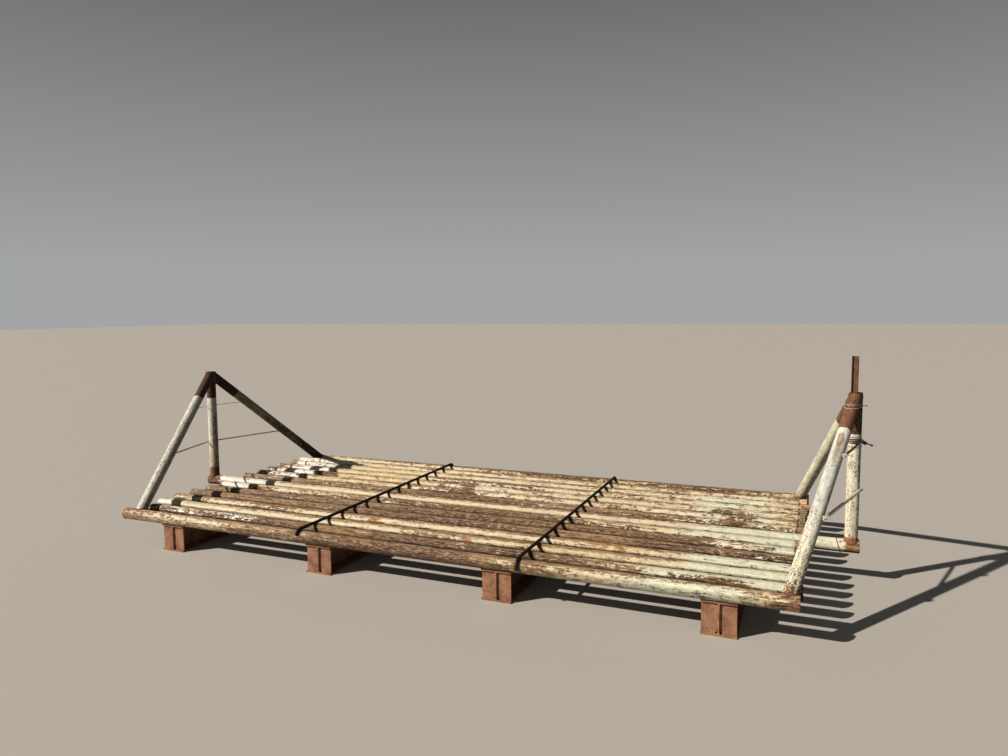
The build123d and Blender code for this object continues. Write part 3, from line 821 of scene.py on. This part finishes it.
def coil(start, heading, length, radius, pitch, phase=0.0, splay=0.0):   # a strand wound round a line
    ahead = Vector(heading).normalized()
    fewest, splayFrom = wireShape["pointsPerTurn"], wireShape["splayFrom"]
    count = max(fewest, round(fewest * length / pitch))
    turns = [phase + 2 * math.pi * length * k / count / pitch for k in range(count + 1)]
    points = []
    for k, way in enumerate(turnsAbout(ahead, turns)):
        reach = radius + splay * max(0.0, k / count - splayFrom) / (1 - splayFrom)
        points.append(start + ahead * (length * k / count) + way * reach)
    return points, [(k, k + 1) for k in range(count)]


def twisted(start, heading, length):   # two strands round each other, sprung apart at their cut ends
    radius = wireShape["radius"] * wireShape["strandRoom"]
    return [coil(start, heading, length, radius, wireShape["twistPitch"], phase, wireShape["twistSplay"])
            for phase in (0.0, math.pi)]


def looseRing():   # a ring that hangs on the middle pipe and leans along it
    ring = []
    reach = pipeRadius + wireShape["radius"] + wireShape["ringSlack"]
    for turn in wholeTurn(wireShape["around"]):
        lean = wireShape["ringLean"] * (1 - math.cos(turn)) / 2
        ring.append(Vector((wireShape["ringAt"] + lean, reach * math.sin(turn),
                            pipeLevel - wireShape["ringSlack"] + reach * math.cos(turn))))
    return closed(ring)


def buildWires():
    post = postLine(1)
    cluster = [legLine(1, -1), legLine(1, 1), post]
    outer = Vector((postReach + wingRadius + wireShape["radius"], 0, 0))
    head = [tightTurn(cluster, *turn) for turn in wireShape["headTurns"]]
    head += twisted(outer + Vector((0, 0, wireShape["headTurns"][0][0])), *wireShape["headTwist"])
    knot = [tightTurn([post], *turn) for turn in wireShape["knotTurns"]]
    start = outer + Vector((0, 0, wireShape["knotTurns"][1][0]))
    aside = Vector((0, -wireShape["knotCoil"][1], 0))
    knot.append(coil(start + aside, wireShape["knotTwist"][0], *wireShape["knotCoil"]))
    knot += twisted(start, *wireShape["knotTwist"])
    old = [tightTurn([post], *turn) for turn in wireShape["oldTurns"]]
    wire = {"Step": wireShape["step"], "Ripple": 0.0, "Unevenness": 0.1, "Sides": wireShape["sides"],
            "Seed": 6.0}
    for name, parts, steel, radius in (("head_wire", head, "baleWire", "radius"),
                                       ("post_wire", knot, "blackWire", "knotRadius"),
                                       ("old_wire", old, "soiledRod", "radius"),
                                       ("pipe_wire", [looseRing()], "blackWire", "radius")):
        values = dict(wire, Radius=wireShape[radius], Finish=steels[steel])
        growPiece(name, *joined(parts), trees["bead"], values, "tie_bar")


buildWires()

# Rung welds: light blobs of uncleaned weld where the right rungs meet the front leg, darker ones on the
# post. rods: the radius of each rung; inset: how many of these radii a lump sits in the leg at the middle,
# and how many more above and below; inRow: lumps along the rung at the middle, with one fewer above and
# below
blobShape = {"radius": 0.0105, "postRadius": 0.006, "rise": 0.007, "along": 0.012, "out": 0.007,
             "inset": (0.2, 0.6), "inRow": 3, "rods": {"right_lower_rung": 0.0105, "right_upper_rung": 0.007}}


def buildRungWelds():
    foot, crown = legLine(1, -1)
    plan = (crown - foot).to_2d().normalized()
    outward = Vector((plan.y, -plan.x, 0))
    least, more = blobShape["inset"]
    light, dark = [], []
    for name, thick in blobShape["rods"].items():
        low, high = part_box(name)
        near = Vector((low.x + thick * outward.x, low.y - thick * outward.y, low.z + thick))
        far = Vector((postReach, 0, high.z - thick)) + outward * wingRadius
        ahead = (far - near).normalized() * blobShape["along"] + outward * blobShape["out"]
        for level in (-1, 0, 1):
            rise = Vector((0, 0, level * blobShape["rise"]))
            inward = outward * thick * (least + more * abs(level))
            light += [near - inward + rise + ahead * k for k in range(blobShape["inRow"] - abs(level))]
            dark.append(far + rise)
    for name, spots, radius, steel in (("rung_leg_welds", light, "radius", "limedWeld"),
                                       ("rung_post_welds", dark, "postRadius", "weldMetal")):
        growPiece(name, spots, [], trees["lump"],
                  {"Radius": blobShape[radius], "Seed": 8, "Finish": steels[steel]}, "wing_pipe_paint")


buildRungWelds()
print("wires and rung welds")
